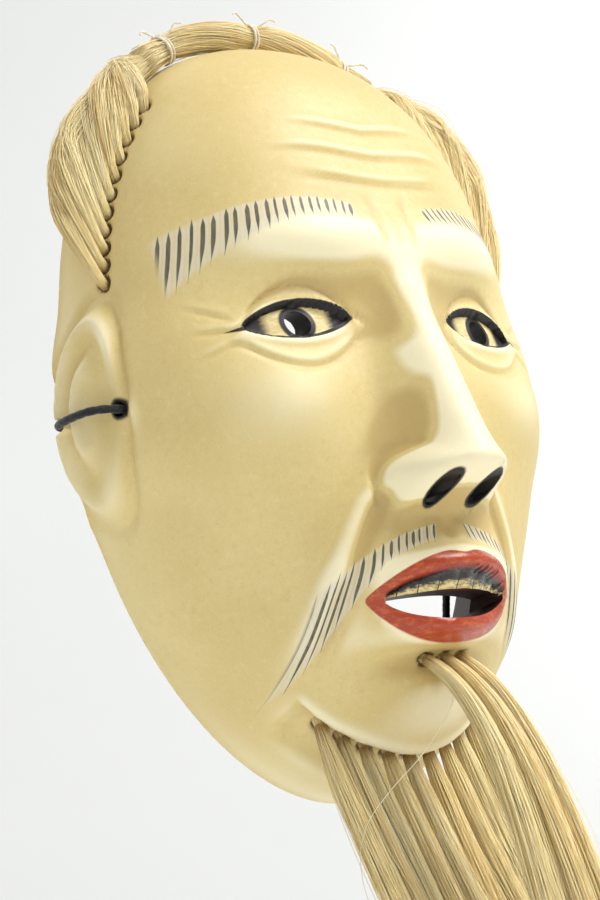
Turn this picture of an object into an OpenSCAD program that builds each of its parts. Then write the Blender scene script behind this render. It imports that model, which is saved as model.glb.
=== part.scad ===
// Noh mask of an old man: a carved and painted wooden shell, horsehair sidelocks
// tied over the crown, a lip and a chin beard, and one cord at each ear.
// The rim lies in the plane y = 0, the face looks along -Y and +Z is the crown.

/* [Shell] */
// Width of the face between the cheeks
mask_w = 142; // [120:1:170]
// Height from the centre of the rim to the crown
crown_h = 104; // [90:1:125]
// Height from the centre of the rim to the chin
chin_h = 104; // [90:1:125]
// Depth of the face in front of the rim, without the nose
dome_d = 56; // [47:1:66]
// Thickness of the wood at the rim
rim_wall = 7; // [5.5:0.5:8.5]
// Thickness of the wood behind the face
face_wall = 8; // [6.5:0.5:9.5]

/* [Face] */
// How far the ears stand out of the outline
ear_out = 3.5; // [2:0.5:5]
// Height of the nose tip above the face
nose_rise = 22; // [16:1:26]
// Distance of each eye from the middle
eye_x = 31; // [28:0.5:35]
// Height of the eyes
eye_z = 13; // [8:0.5:18]
// Diameter of the sight hole in each eye
pupil_d = 7; // [5.5:0.5:8.5]
// Distance of each nostril from the middle
nostril_x = 7.2; // [6.2:0.1:8.2]
// Height of the nostrils
nostril_z = -33.5; // [-36:0.5:-31]
// Diameter of the nostrils
nostril_d = 6.2; // [6:0.1:7]
// Width of the open mouth
mouth_w = 42; // [34:1:50]
// Height of the corners of the mouth
mouth_z = -58.5; // [-61:0.5:-56]
// How far the mouth opens below its corners
mouth_drop = 6.5; // [6:0.5:9]

/* [Hair] */
// Diameter of a tuft where it leaves the wood
tuft_d = 3.4; // [2.6:0.1:4]
// Room round a tuft's root in its hole
root_gap = 0.2; // [0.1:0.05:0.4]
// Depth of the holes for the roots
root_depth = 4; // [3:0.5:5]
// Number of tufts in each sidelock
sidelock_tufts = 11; // [9:1:11]
// Diameter of the hair rope over the crown
bundle_d = 8; // [6:0.5:10]
// Number of tufts under the lower lip
lip_tufts = 3; // [1:2:3]
// Distance between the tufts under the lip
lip_pitch = 5.6; // [5:0.1:7]
// Number of tufts under the chin
chin_tufts = 9; // [5:2:9]
// Angle between neighbouring tufts under the chin, seen from the rim's centre
chin_pitch = 4.1; // [3.8:0.1:5]
// Space between a hanging tuft and its root
hinge_gap = 0.5; // [0.4:0.1:0.8]

/* [Cord] */
// Diameter of the ear cords
cord_d = 2.2; // [1.8:0.1:2.4]
// Diameter of the hole in each ear
cord_hole_d = 4; // [3.2:0.1:5]
// Distance of the ear holes in front of the rim
cord_hole_y = 22; // [18:0.5:26]
// Height of the ear holes
cord_z = -3; // [-8:0.5:2]
// Width of the notch in the rim that the cord lies in
notch_w = 3.4; // [3:0.1:4]
// Depth of that notch
notch_depth = 4.6; // [4.2:0.1:5.2]
// Width of a stored hank of cord
hank_w = 11; // [9:0.5:13]
// Number of turns in a hank
hank_turns = 7; // [4:1:8]

/* [Hidden] */

paint = [0.87, 0.79, 0.55];
hair = [0.91, 0.84, 0.66];
string = [0.85, 0.79, 0.66];
black = [0.07, 0.07, 0.08];

// ---- the carved surface -------------------------------------------------

crown_round = 2.25;      // exponent of the outline above the ears
jaw_round = 1.85;        // exponent of the outline below the ears
side_curve = 0.95;       // how the face rounds into its sides
end_curve = 0.70;        // how it rounds into the crown and the chin
dome_curve = 0.85;
ear_spread = 19;         // half the angle that an ear takes
brow_z = 35;
nose_top_z = 26;
nose_tip_z = -27;
nose_end_z = -39;

function hill(x, z, cx, cz, wx, wz) = exp(-pow((x - cx) / wx, 2) - pow((z - cz) / wz, 2));
function clamp01(v) = min(1, max(0, v));
function smooth(v) = let (c = clamp01(v)) c * c * (3 - 2 * c);

// Radius of the outline at angle a, which runs from +X to +Z
function ear_part(a) = exp(-pow(asin(abs(sin(a + 1.5 * sign(cos(a))))) / ear_spread, 4));
function outline(a) =
    let (n = sin(a) > 0 ? crown_round : jaw_round, h = sin(a) > 0 ? crown_h : chin_h)
    pow(pow(abs(cos(a)) * 2 / mask_w, n) + pow(abs(sin(a)) / h, n), -1 / n)
    + ear_out * ear_part(a);

function nose(x, z) =
    let (down = clamp01((nose_top_z - z) / (nose_top_z - nose_tip_z)),
         rise = 4 + (nose_rise - 4) * pow(down, 1.2),
         under = 1 - smooth((nose_tip_z - z) / (nose_tip_z - nose_end_z)),
         top = smooth((nose_top_z + 10 - z) / 16),
         half = 7 + 5.5 * down)
    rise * under * top * exp(-pow(abs(x) / half, 2.4));

// What the face adds to the plain dome, for the right half and the left alike
function relief(x, z) =
    let (m = abs(x))
    4.5 * hill(m, z, 26, brow_z, 20, 8)
    + 2 * hill(m, z, 0, brow_z, 12, 10)
    - 2.5 * hill(m, z, 56, 44, 12, 16)
    - 7 * hill(m, z, eye_x - 1, eye_z + 2, 17, 11)
    + 4.5 * hill(m, z, eye_x, eye_z, 13, 8)
    + nose(x, z)
    + 7 * hill(m, z, 12.5, -30, 6, 6.5)
    + 5 * hill(m, z, 42, -8, 17, 13)
    - 4 * hill(m, z, 44, -44, 14, 17)
    + 9 * hill(m, z, 0, -57, 28, 19)
    + 3 * hill(m, z, 0, mouth_z + 7, 20, 4.5)
    + 3.5 * hill(m, z, 0, mouth_z - 9, 17, 4.5)
    - 3 * hill(m, z, 0, mouth_z - 16, 16, 4.5)
    + 9 * hill(m, z, 0, -89, 19, 11);

function curve_at(a) = side_curve + (end_curve - side_curve) * pow(sin(a), 2);
function fade(t) = sqrt(cos(90 * t));

// The ledge under the chin that the beard is set in: 1 on it and 0 elsewhere
ledge_span = 22;         // half the angle it takes
ledge_t = [0.66, 0.70, 0.78, 0.86];
ledge_up = 2;
ledge_back = 1.5;
function ledge(a, t) =
    smooth((ledge_span - abs(a - 270)) / 4)
    * smooth((t - ledge_t[0]) / (ledge_t[1] - ledge_t[0]))
    * smooth((ledge_t[3] - t) / (ledge_t[3] - ledge_t[2]));

// A point of the front at angle a and t from 0 in the middle to 1 at the rim,
// and the same for the hollow
function carved(a, t, radius, depth, share, cut) =
    let (r = pow(sin(90 * t), curve_at(a)) * radius - ledge_up * cut,
         x = r * cos(a), z = r * sin(a))
    [x, ledge_back * cut - depth * pow(cos(90 * t), dome_curve)
        - share * fade(t) * relief(x, z), z];
function front(a, t) = carved(a, t, outline(a), dome_d, 1, ledge(a, t));
function hollow(a, t) = carved(a, t, outline(a) - rim_wall, dome_d - face_wall, 0.6, 0);

around = 80;             // steps round the shell, a multiple of 4
rings = 24;              // steps from the middle to the rim
skirt = 2;               // raw edge behind the rim, cut off by the plane y = 0

function skin(inner) =
    [for (i = [0 : rings], k = [0 : i == 0 ? 0 : around - 1])
        let (a = 360 * k / around, t = i / rings) inner ? hollow(a, t) : front(a, t)];
function ring_start(i) = i == 0 ? 0 : 1 + (i - 1) * around;

module raw_shell() {
    outer = skin(false);
    inner = skin(true);
    n = len(outer);
    last = ring_start(rings);
    edge = [for (p = [for (k = [0 : around - 1]) outer[last + k]]) [p[0], skirt, p[2]]];
    inner_edge = [for (p = [for (k = [0 : around - 1]) inner[last + k]]) [p[0], skirt, p[2]]];
    e = 2 * n;
    faces = [
        for (k = [0 : around - 1]) let (j = (k + 1) % around) each [
            [0, 1 + k, 1 + j], [n, n + 1 + j, n + 1 + k],
            [last + k, e + k, e + j], [last + k, e + j, last + j],
            [n + last + k, e + around + j, e + around + k],
            [n + last + k, n + last + j, e + around + j],
            [e + k, e + around + k, e + around + j], [e + k, e + around + j, e + j]],
        for (i = [1 : rings - 1], k = [0 : around - 1])
            let (j = (k + 1) % around, p = ring_start(i), q = ring_start(i + 1)) each [
            [p + k, q + k, q + j], [p + k, q + j, p + j],
            [n + p + k, n + q + j, n + q + k], [n + p + k, n + p + j, n + q + j]]];
    polyhedron([each outer, each inner, each edge, each inner_edge], faces);
}

// ---- tubes and tufts ----------------------------------------------------

function unit(v) = v / norm(v);
function bezier(p, n) = [for (i = [0 : n]) let (s = i / n, r = 1 - s)
    r * r * r * p[0] + 3 * r * r * s * p[1] + 3 * r * s * s * p[2] + s * s * s * p[3]];
function way(path, i) = unit(path[min(i + 1, len(path) - 1)] - path[max(i - 1, 0)]);
function across(v, old) = unit(old - (old * v) * v);

// A tube along path with one radius for each of its points
module tube(path, radii, sides = 8) {
    n = len(path);
    first = abs(way(path, 0)[2]) < 0.9 ? [0, 0, 1] : [1, 0, 0];
    frames = [for (i = 0, u = across(way(path, 0), first); i < n;
                   i = i + 1, u = i < n ? across(way(path, i), u) : u) u];
    points = [for (i = [0 : n - 1], k = [0 : sides - 1])
        let (u = frames[i], w = cross(way(path, i), u), s = 360 * k / sides)
        path[i] + radii[i] * (cos(s) * u + sin(s) * w)];
    walls = [for (i = [0 : n - 2], k = [0 : sides - 1])
        let (j = (k + 1) % sides, p = i * sides, q = p + sides)
        each [[p + k, q + j, p + j], [p + k, q + k, q + j]]];
    ends = [[for (k = [0 : sides - 1]) k],
            [for (k = [sides - 1 : -1 : 0]) (n - 1) * sides + k]];
    polyhedron(points, [each ends, each walls]);
}

// A round peg or hole from p along direction d, from a depth in the wood outwards
module along(p, d, from, to, diameter) {
    b = acos(d[2]);
    c = atan2(d[1], d[0]);
    translate(p) rotate([0, b, c]) translate([0, 0, from])
        cylinder(d = diameter, h = to - from, $fn = 24);
}

// ---- sidelocks ----------------------------------------------------------

lock_from = 25;          // angle of the lowest tuft
lock_to = 60;            // angle of the highest one
lock_t = 0.83;           // how far from the middle to the rim they are rooted
lock_lead = 6;           // how much further round a tuft meets the lock
lock_low = 11;           // how far the lock stands off the rim at its lower end
lock_high = 6;           // and at the crown
lock_y = -7;
bundle_from = 68;        // angle at which the lock becomes the rope
tie_w = 3;
tie_wall = 0.7;
tie_gap = 0.2;

function lock_angle(k) = lock_from + (lock_to - lock_from) * k / (sidelock_tufts - 1);
function lock_point(a) =
    let (up = smooth((a - lock_from) / (bundle_from - lock_from)),
         r = outline(a) - ear_out * ear_part(a) + lock_low + (lock_high - lock_low) * up)
    [r * cos(a), lock_y, r * sin(a)];
function root_out(a) = unit([cos(a), -0.45, sin(a)]);

module sidelock_tuft(k) color(hair) {
    a = lock_angle(k);
    root = front(a, lock_t);
    join_at = a + lock_lead;
    goal = lock_point(join_at);
    flow = unit(lock_point(join_at + 2) - goal);
    beside = goal - unit([cos(join_at), 0, sin(join_at)]) * (bundle_d / 2 + 0.9) - [0, 2, 0];
    path = bezier([root + 1.2 * root_out(a), root + 6 * root_out(a),
                   beside - 3 * flow, beside], 5);
    width = tuft_d / 2;
    tube([root - (root_depth - 0.5) * root_out(a), each path],
         [width, width, width, 0.95 * width, 0.8 * width, 0.6 * width, 0.35 * width]);
}

module sidelock() color(hair) {
    steps = 9;
    low = lock_from + lock_lead - 3;
    path = [for (i = [0 : steps]) lock_point(low + (bundle_from - 0.3 - low) * i / steps)];
    tube(path, [for (i = [0 : steps]) 1.2 + (bundle_d / 2 - 1.2) * smooth(i / steps * 1.3)]);
}

module top_bundle() color(hair) {
    steps = 14;
    span = 180 - 2 * bundle_from;
    tube([for (i = [0 : steps]) lock_point_both(bundle_from + span * i / steps)],
         [for (i = [0 : steps]) bundle_d / 2], 12);
}
function lock_point_both(a) = a <= 90 ? lock_point(a)
    : let (p = lock_point(180 - a)) [-p[0], p[1], p[2]];

module bundle_tie(a) color(string) {
    p = lock_point_both(a);
    d = unit(lock_point_both(a + 1) - lock_point_both(a - 1));
    difference() {
        along(p, d, -tie_w / 2, tie_w / 2, bundle_d + 2 * (tie_gap + tie_wall));
        along(p, d, -tie_w, tie_w, bundle_d + 2 * tie_gap);
    }
}

// ---- beard --------------------------------------------------------------

lip_root_z = mouth_z - 15;
lip_fall = 108;          // how far the lip beard reaches down
lip_sweep = 44;          // and forward
chin_t = 0.72;
chin_fall = 112;
chin_sweep = 46;

// A point of the front straight ahead of x, z near the middle of the face
function solve_t(a, r, low, high, n) =
    n == 0 ? (low + high) / 2
    : let (mid = (low + high) / 2, here = pow(sin(90 * mid), curve_at(a)) * outline(a))
      here < r ? solve_t(a, r, mid, high, n - 1) : solve_t(a, r, low, mid, n - 1);
function ahead(x, z) = let (a = atan2(z, x)) front(a, solve_t(a, norm([x, z]), 0, 1, 24));

function lip_x(k) = (k - (lip_tufts - 1) / 2) * lip_pitch;
function lip_root(k) = ahead(lip_x(k), lip_root_z);
lip_out = unit([0, -1, -0.6]);
function chin_angle(k) = 270 + (k - (chin_tufts - 1) / 2) * chin_pitch;
function chin_root(k) = front(chin_angle(k), chin_t);
chin_out = unit([0, -0.3, -1]);

root_end = 0.6;          // how far a root stands out of the wood
module roots(points, out) color(hair)
    for (p = points)
        along(p, out, -root_depth, root_end, tuft_d);

// A tuft hangs from a hinge in the middle of its root's end, which it narrows to
module hanging_tuft(root, out, fall, sweep) color(hair) {
    start = root + (root_end + hinge_gap) * out;
    goal = root + [0, -sweep, -fall];
    path = bezier([start, start + 0.3 * fall * out, goal + [0, 0.12 * fall, 0.4 * fall],
                   goal], 8);
    width = tuft_d / 2;
    swell = [1.1, 1.3, 1.4, 1.4, 1.3, 1.1, 0.8, 0.35];
    tube([path[0], path[0] + 3 * hinge_gap * out, each [for (i = [1 : 8]) path[i]]],
         [hinge_gap, 2 * hinge_gap, each width * swell]);
}

// ---- ear cords ----------------------------------------------------------

// From the knot through the ear, round the rim and to the top of the hank
ear_way = [[60.6, -22, -3], [66, -22, -3], [71.5, -22, -3], [75, -21, -3],
           [77.2, -18, -3], [77.8, -13, -3], [77.6, -8, -3], [76.2, -4, -3],
           [73, -2, -3], [69, -1.8, -3], [65, -2.2, -2.8], [61, -5, -1.6],
           [57, -9, 0.2], [53.4, -12.8, 0.8], [50.8, -15, -0.6]];
// The end that hangs from the hank
tail_way = [[49.8, -2.9, -36.6], [48.6, -3.2, -42], [47.2, -3.5, -48],
            [45.8, -3.6, -54], [44.6, -3.6, -60]];
knot_d = 6.4;
hank_x = 45.5;
hank_top = -1.5;
hank_low = -37.5;
hank_back = -1.5;

module ear_cord() color(black) {
    tube(ear_way, [for (p = ear_way) cord_d / 2]);
    tube(tail_way, [for (i = [0 : len(tail_way) - 1]) cord_d / 2]);
}

module cord_knot() color(black)
    translate(ear_way[0] - [knot_d / 2, 0, 0])
        sphere(d = knot_d, $fn = 32);

module hank_outline(room) {
    r = hank_w / 2 + room;
    low = hank_low + hank_w / 2;
    high = hank_top - hank_w / 2;
    translate([hank_x, low]) circle(r, $fn = 32);
    translate([hank_x, high]) circle(r, $fn = 32);
    translate([hank_x - r, low]) square([2 * r, high - low]);
}

module cord_hank() color(black)
    rotate([90, 0, 0]) translate([0, 0, -hank_back])
        linear_extrude(hank_turns * cord_d) hank_outline(0);

module hank_tie() color(string) {
    middle = (hank_top + hank_low) / 2;
    deep = hank_turns * cord_d;
    translate([hank_x, hank_back - deep / 2, middle])
        difference() {
            cube([hank_w + 2 * (tie_gap + tie_wall), deep + 2 * (tie_gap + tie_wall), tie_w],
                 center = true);
            cube([hank_w + 2 * tie_gap, deep + 2 * tie_gap, tie_w + 2], center = true);
        }
}

// ---- the shell with its openings ----------------------------------------

function mouth_arch(x) = 1 - pow(2 * x / mouth_w, 2);
module mouth() {
    steps = 12;
    xs = [for (i = [-steps : steps]) mouth_w / 2 * sin(90 * i / steps)];
    polygon([for (x = xs) [x, mouth_z - mouth_drop * pow(mouth_arch(x), 0.7) - 0.01],
             for (i = [len(xs) - 2 : -1 : 1]) [xs[i], mouth_z + mouth_arch(xs[i])]]);
}

module both_sides() {
    children();
    mirror([1, 0, 0]) children();
}

module mask_shell() color(paint)
    difference() {
        raw_shell();
        translate([-200, 0, -200]) cube([400, 50, 400]);
        rotate([90, 0, 0]) translate([0, 0, 10]) linear_extrude(100) mouth();
        both_sides() {
            translate([eye_x, -10, eye_z]) rotate([90, 0, 0])
                cylinder(d = pupil_d, h = 90, $fn = 32);
            translate([nostril_x, -10, nostril_z]) rotate([90, 0, 0])
                cylinder(d = nostril_d, h = 90, $fn = 32);
            translate([mask_w / 2 - 25, -cord_hole_y, cord_z]) rotate([0, 90, 0])
                cylinder(d = cord_hole_d, h = 50, $fn = 32);
            translate([mask_w / 2 - 25, -notch_depth, cord_z - notch_w / 2])
                cube([50, notch_depth + 1, notch_w]);
            for (k = [0 : sidelock_tufts - 1])
                let (a = lock_angle(k))
                    along(front(a, lock_t), root_out(a), -root_depth, 6, tuft_d + 2 * root_gap);
        }
        for (k = [0 : lip_tufts - 1])
            along(lip_root(k), lip_out, -root_depth, 6, tuft_d + 2 * root_gap);
        for (k = [0 : chin_tufts - 1])
            along(chin_root(k), chin_out, -root_depth, 12, tuft_d + 2 * root_gap);
    }

// ---- nodes --------------------------------------------------------------

mask_shell();
for (k = [1 : sidelock_tufts]) {
    mirror([1, 0, 0]) sidelock_tuft(k - 1);
    sidelock_tuft(k - 1);
}
mirror([1, 0, 0]) sidelock();  // right_sidelock
sidelock();  // left_sidelock
top_bundle();
bundle_tie(180 - bundle_from - 5);  // right_bundle_tie
bundle_tie(90);  // centre_bundle_tie
bundle_tie(bundle_from + 5);  // left_bundle_tie
roots([for (k = [0 : lip_tufts - 1]) lip_root(k)], lip_out);  // lip_tuft_roots
for (k = [1 : lip_tufts])
    hanging_tuft(lip_root(k - 1), lip_out, lip_fall, lip_sweep);
roots([for (k = [0 : chin_tufts - 1]) chin_root(k)], chin_out);  // chin_tuft_roots
for (k = [1 : chin_tufts])
    hanging_tuft(chin_root(k - 1), chin_out, chin_fall, chin_sweep);
mirror([1, 0, 0]) ear_cord();  // right_ear_cord
ear_cord();  // left_ear_cord
mirror([1, 0, 0]) cord_knot();  // right_cord_knot
cord_knot();  // left_cord_knot
mirror([1, 0, 0]) cord_hank();  // right_cord_hank
cord_hank();  // left_cord_hank
mirror([1, 0, 0]) hank_tie();  // right_hank_tie
hank_tie();  // left_hank_tie
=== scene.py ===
"""Noh mask of an old man: painted wood, tied horsehair sidelocks, lip and chin beard, ear cords."""
import math

import bmesh
import bpy
import numpy as np
from mathutils import Matrix, Vector


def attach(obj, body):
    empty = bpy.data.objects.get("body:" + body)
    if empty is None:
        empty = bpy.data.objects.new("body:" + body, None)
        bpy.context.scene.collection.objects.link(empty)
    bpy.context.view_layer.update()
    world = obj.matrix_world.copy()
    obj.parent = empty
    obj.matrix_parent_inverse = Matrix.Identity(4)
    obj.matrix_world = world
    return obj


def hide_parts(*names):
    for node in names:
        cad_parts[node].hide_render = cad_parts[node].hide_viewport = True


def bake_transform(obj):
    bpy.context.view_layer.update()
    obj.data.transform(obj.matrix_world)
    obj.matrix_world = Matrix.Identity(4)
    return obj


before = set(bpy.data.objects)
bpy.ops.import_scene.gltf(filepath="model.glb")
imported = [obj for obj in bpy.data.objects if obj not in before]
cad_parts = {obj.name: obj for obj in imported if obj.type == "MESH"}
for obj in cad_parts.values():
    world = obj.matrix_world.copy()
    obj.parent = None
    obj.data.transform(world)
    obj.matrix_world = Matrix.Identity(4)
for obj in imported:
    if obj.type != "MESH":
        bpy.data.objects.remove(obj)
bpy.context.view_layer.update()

MM = 0.001
ROOT = "mask"
RANDOM = np.random.default_rng(7)
HAIR_R = 0.085
FRONT_GRID, BACK_GRID, MEETING = 268, 150, 0.01

# ---- sizes of the design, in millimetres --------------------------------

MASK_W, CROWN_H, CHIN_H = 142.0, 104.0, 104.0
DOME_D, RIM_WALL, FACE_WALL = 56.0, 7.0, 8.0
EAR_OUT, EAR_SPREAD = 3.5, 19.0
NOSE_RISE, NOSE_TOP, NOSE_TIP, NOSE_END = 22.0, 26.0, -27.0, -39.0
EYE_X, EYE_Z, PUPIL_R = 31.0, 13.0, 3.5
EYE_HALF, EYE_UP, EYE_LOW, EYE_LEAN = 14.5, 5.2, 3.8, 0.06
NOSTRIL_X, NOSTRIL_Z, NOSTRIL_R = 7.2, -33.5, 3.1
MOUTH_W, MOUTH_Z, MOUTH_DROP, LIPS_HALF = 42.0, -58.5, 6.5, 24.5
BROW_Z = 35.0
CROWN_ROUND, JAW_ROUND = 2.25, 1.85
SIDE_CURVE, END_CURVE, DOME_CURVE = 0.95, 0.70, 0.85
LEDGE_SPAN, LEDGE_T, LEDGE_UP, LEDGE_BACK = 23.5, (0.66, 0.70, 0.78, 0.86), 2.0, 1.5
CORD_D, CORD_HOLE_R, CORD_Y, CORD_Z, NOTCH_W, NOTCH_DEPTH = 2.2, 2.0, -22.0, -3.0, 3.4, 4.6
TUFT_D = 3.4
SIDELOCK_TUFTS, LOCK_FROM, LOCK_TO, LOCK_T, LOCK_LEAD = 11, 25.0, 60.0, 0.83, 6.0
LOCK_LOW, LOCK_HIGH, LOCK_Y, BUNDLE_FROM = 11.0, 4.2, -9.5, 68.0
LIP_TUFTS, LIP_PITCH, LIP_FALL, LIP_SWEEP = 3, 5.6, 108.0, 44.0
CHIN_TUFTS, CHIN_PITCH, CHIN_T, CHIN_FALL, CHIN_SWEEP = 9, 4.1, 0.72, 112.0, 46.0


# ---- camera -------------------------------------------------------------

def placed(name, data):
    """A new object in the scene."""
    obj = bpy.data.objects.new(name, data)
    bpy.context.scene.collection.objects.link(obj)
    return obj


def add_camera():
    """Sees the mask from below and to its right, with the head leaning. Lengths in metres."""
    data = bpy.data.cameras.new("camera")
    data.sensor_fit = "VERTICAL"
    data.sensor_height = 36.0
    data.lens = 95.0
    camera = placed("camera", data)
    azimuth, elevation, roll = (math.radians(v) for v in (-40.0, -11.0, -8.5))
    target = Vector((-0.0140, -0.0221, -0.0130))
    distance = 0.622
    back = Vector((math.sin(azimuth) * math.cos(elevation),
                   -math.cos(azimuth) * math.cos(elevation), math.sin(elevation)))
    turn = back.to_track_quat("Z", "Y").to_matrix().to_4x4()
    place = Matrix.Translation(target + back * distance)
    camera.matrix_world = place @ turn @ Matrix.Rotation(roll, 4, "Z")
    bpy.context.scene.camera = camera


add_camera()


# ---- the carved surface, as in part.scad --------------------------------

def hill(x, z, cx, cz, wx, wz):
    return np.exp(-((x - cx) / wx) ** 2 - ((z - cz) / wz) ** 2)


def smooth(v):
    c = np.clip(v, 0.0, 1.0)
    return c * c * (3 - 2 * c)


def sind(v):
    return np.sin(np.radians(v))


def cosd(v):
    return np.cos(np.radians(v))


def ear_part(a):
    lean = np.degrees(np.arcsin(np.abs(sind(a + 1.5 * np.sign(cosd(a))))))
    return np.exp(-(lean / EAR_SPREAD) ** 4)


def plain_outline(a):
    up = sind(a) > 0
    n = np.where(up, CROWN_ROUND, JAW_ROUND)
    h = np.where(up, CROWN_H, CHIN_H)
    return ((np.abs(cosd(a)) * 2 / MASK_W) ** n + (np.abs(sind(a)) / h) ** n) ** (-1 / n)


def outline(a):
    return plain_outline(a) + EAR_OUT * ear_part(a)


def nose(x, z):
    down = np.clip((NOSE_TOP - z) / (NOSE_TOP - NOSE_TIP), 0, 1)
    rise = 4 + (NOSE_RISE - 4) * down ** 1.2
    under = 1 - smooth((NOSE_TIP - z) / (NOSE_TIP - NOSE_END))
    top = smooth((NOSE_TOP + 10 - z) / 16)
    half = 7 + 5.5 * down
    return rise * under * top * np.exp(-(np.abs(x) / half) ** 2.4)


def relief(x, z):
    m = np.abs(x)
    return (4.5 * hill(m, z, 26, BROW_Z, 20, 8) + 2 * hill(m, z, 0, BROW_Z, 12, 10)
            - 2.5 * hill(m, z, 56, 44, 12, 16) - 7 * hill(m, z, EYE_X - 1, EYE_Z + 2, 17, 11)
            + 4.5 * hill(m, z, EYE_X, EYE_Z, 13, 8) + nose(x, z)
            + 7 * hill(m, z, 12.5, -30, 6, 6.5) + 5 * hill(m, z, 42, -8, 17, 13)
            - 4 * hill(m, z, 44, -44, 14, 17) + 9 * hill(m, z, 0, -57, 28, 19)
            + 3 * hill(m, z, 0, MOUTH_Z + 7, 20, 4.5) + 3.5 * hill(m, z, 0, MOUTH_Z - 9, 17, 4.5)
            - 3 * hill(m, z, 0, MOUTH_Z - 16, 16, 4.5) + 9 * hill(m, z, 0, -89, 19, 11))


def curve_at(a):
    return SIDE_CURVE + (END_CURVE - SIDE_CURVE) * sind(a) ** 2


def fade(t):
    return np.sqrt(np.clip(cosd(90 * t), 0, 1))


def ledge(a, t):
    turn = np.abs((a - 270 + 180) % 360 - 180)
    return (smooth((LEDGE_SPAN - turn) / 4)
            * smooth((t - LEDGE_T[1] + 0.012) / 0.012)
            * smooth((LEDGE_T[3] - t) / (LEDGE_T[3] - LEDGE_T[2])))


def carved(a, t, radius, depth, share, cut):
    r = sind(90 * t) ** curve_at(a) * radius - LEDGE_UP * cut
    x, z = r * cosd(a), r * sind(a)
    y = (LEDGE_BACK * cut - depth * np.clip(cosd(90 * t), 0, 1) ** DOME_CURVE
         - share * fade(t) * relief(x, z))
    return np.stack([x, y, z], -1)


def front(a, t):
    return carved(a, t, outline(a), DOME_D, 1.0, ledge(a, t))


def hollow(a, t):
    return carved(a, t, outline(a) - RIM_WALL, DOME_D - FACE_WALL, 0.6, 0.0)


def at_xz(x, z, inset=0.0):
    """Angle and t of the front's point at x, z, or of the hollow's with its inset."""
    a = np.degrees(np.arctan2(z, x)) % 360
    rho = np.clip(np.hypot(x, z) / (outline(a) - inset), 0, 1)
    return a, np.degrees(np.arcsin(rho ** (1 / curve_at(a)))) / 90


# ---- fine carving -------------------------------------------------------

def from_zero(v):
    """v, but never under 0. As every line below, it takes an array or a shader's Number."""
    return v.most(0.0) if isinstance(v, Number) else np.maximum(v, 0.0)


def bell(v):
    return (-(v * v)).math("EXPONENT") if isinstance(v, Number) else np.exp(-v * v)


def eye_lines(m):
    """Across the eye, the height of the upper and of the lower lid's edge."""
    ex = m - EYE_X
    arch = from_zero(1 - (ex / EYE_HALF) ** 2)
    middle = EYE_Z - EYE_LEAN * ex
    return ex, middle + EYE_UP * arch ** 0.8, middle - EYE_LOW * arch ** 0.9


def mouth_lines(x):
    """Upper lip's top and lower edge, the opening's top and bottom, and the lower lip's end."""
    arch = from_zero(1 - (2 * x / MOUTH_W) ** 2)
    wide = from_zero(1 - (x / LIPS_HALF) ** 2)
    top = MOUTH_Z + 10.5 * wide ** 0.8 - bell(x / 3.2)
    end = MOUTH_Z - MOUTH_DROP - 5.6 * wide ** 0.8 + MOUTH_DROP * (1 - wide) ** 1.5
    return (top, MOUTH_Z + 5.6 * arch ** 0.75, MOUTH_Z + arch,
            MOUTH_Z - MOUTH_DROP * arch ** 0.7, end)


def groove(distance, width):
    return np.exp(-(distance / width) ** 2)


def eye_carving(m, z):
    ex, up, low = eye_lines(m)
    inside = smooth((up - z) / 0.7 + 0.5) * smooth((z - low) / 0.7 + 0.5)
    inside = inside * smooth((EYE_HALF - np.abs(ex)) / 1.0 + 0.3)
    ball = -1.7 + 1.0 * np.exp(-(ex / 8) ** 2 - ((z - EYE_Z) / 5) ** 2)
    near = smooth((EYE_HALF + 6 - np.abs(ex)) / 7)
    lids = (0.9 * groove(z - up - 1.2, 1.3) + 0.6 * groove(z - low + 1.1, 1.2)) * near
    creases = -1.1 * groove(z - up - 5.2 + 0.02 * ex ** 2, 0.95) * near
    bag = (-0.8 * groove(z - low + 8.5 - 0.014 * ex ** 2, 1.1)
           + 0.5 * groove(z - low + 6.2 - 0.014 * ex ** 2, 1.6)) * near
    return inside * ball + (1 - inside) * lids + creases + bag


def mouth_carving(x, z):
    top, edge, gap, low, end = mouth_lines(x)
    wide = smooth((24 - np.abs(x)) / 5)
    teeth = smooth((edge - z) / 0.6 + 0.5) * smooth((z - gap) / 0.4 + 3)
    teeth = teeth * smooth((20.5 - np.abs(x)) / 2)
    tooth = np.abs(np.sin(np.pi * (np.abs(x) / (6.2 - 0.05 * np.abs(x)))))
    body = teeth * (-2.6 + 0.7 * tooth ** 0.5 - 0.25 * (edge - z) / 5)
    border = 0.35 * groove(z - top, 0.8) * wide + 0.3 * groove(z - end, 0.8) * wide
    upper = 0.9 * groove(z - (top + edge) / 2, 2.4) * wide
    lower = 1.2 * groove(z - (low + end) / 2, 2.2) * wide
    return body + (1 - teeth) * (border + upper + lower)


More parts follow.
